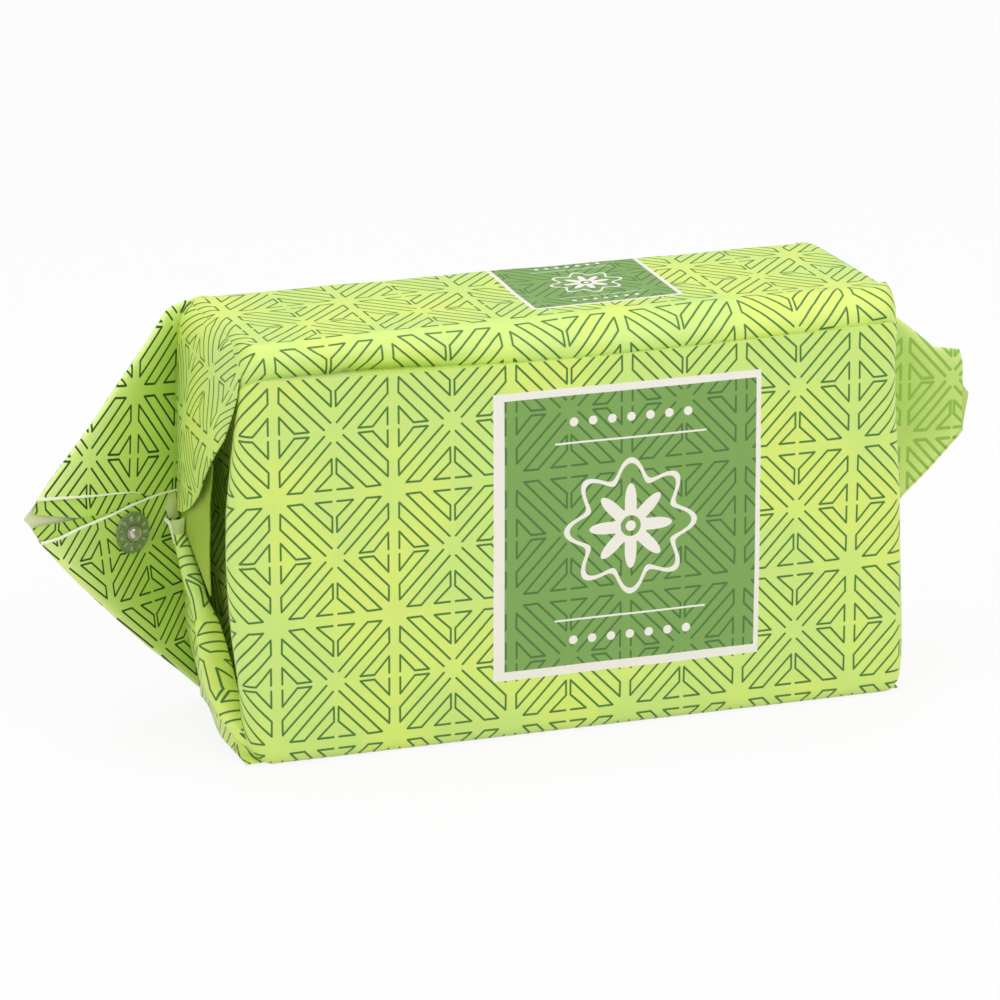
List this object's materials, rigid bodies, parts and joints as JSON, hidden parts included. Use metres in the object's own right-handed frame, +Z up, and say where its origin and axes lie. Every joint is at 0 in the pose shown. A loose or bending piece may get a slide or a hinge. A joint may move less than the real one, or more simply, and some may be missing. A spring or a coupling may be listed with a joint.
{
  "type": "wrapped butter block",
  "caption": "Brick of butter folded into a printed paper wrapper, with two flat paper wings at the ends and a round clear seal on one wing.",
  "frame": {"origin": "on the standing face, under the middle of the brick without its wings", "axes": "+X along the brick to the wing without a seal, +Y from the front to the back that the wings stand out from, +Z up"},
  "size_m": [0.1654, 0.0376, 0.0677],
  "materials": {
    "wrapper": "coated wrapping paper with a dark green line pattern, satin",
    "seal": "clear embossed plastic",
    "stud": "bright"
  },
  "bodies": {
    "root": {"wrapped_block": "wrapper", "seal_disc": "seal", "seal_stud": "stud"}
  },
  "joints": []
}
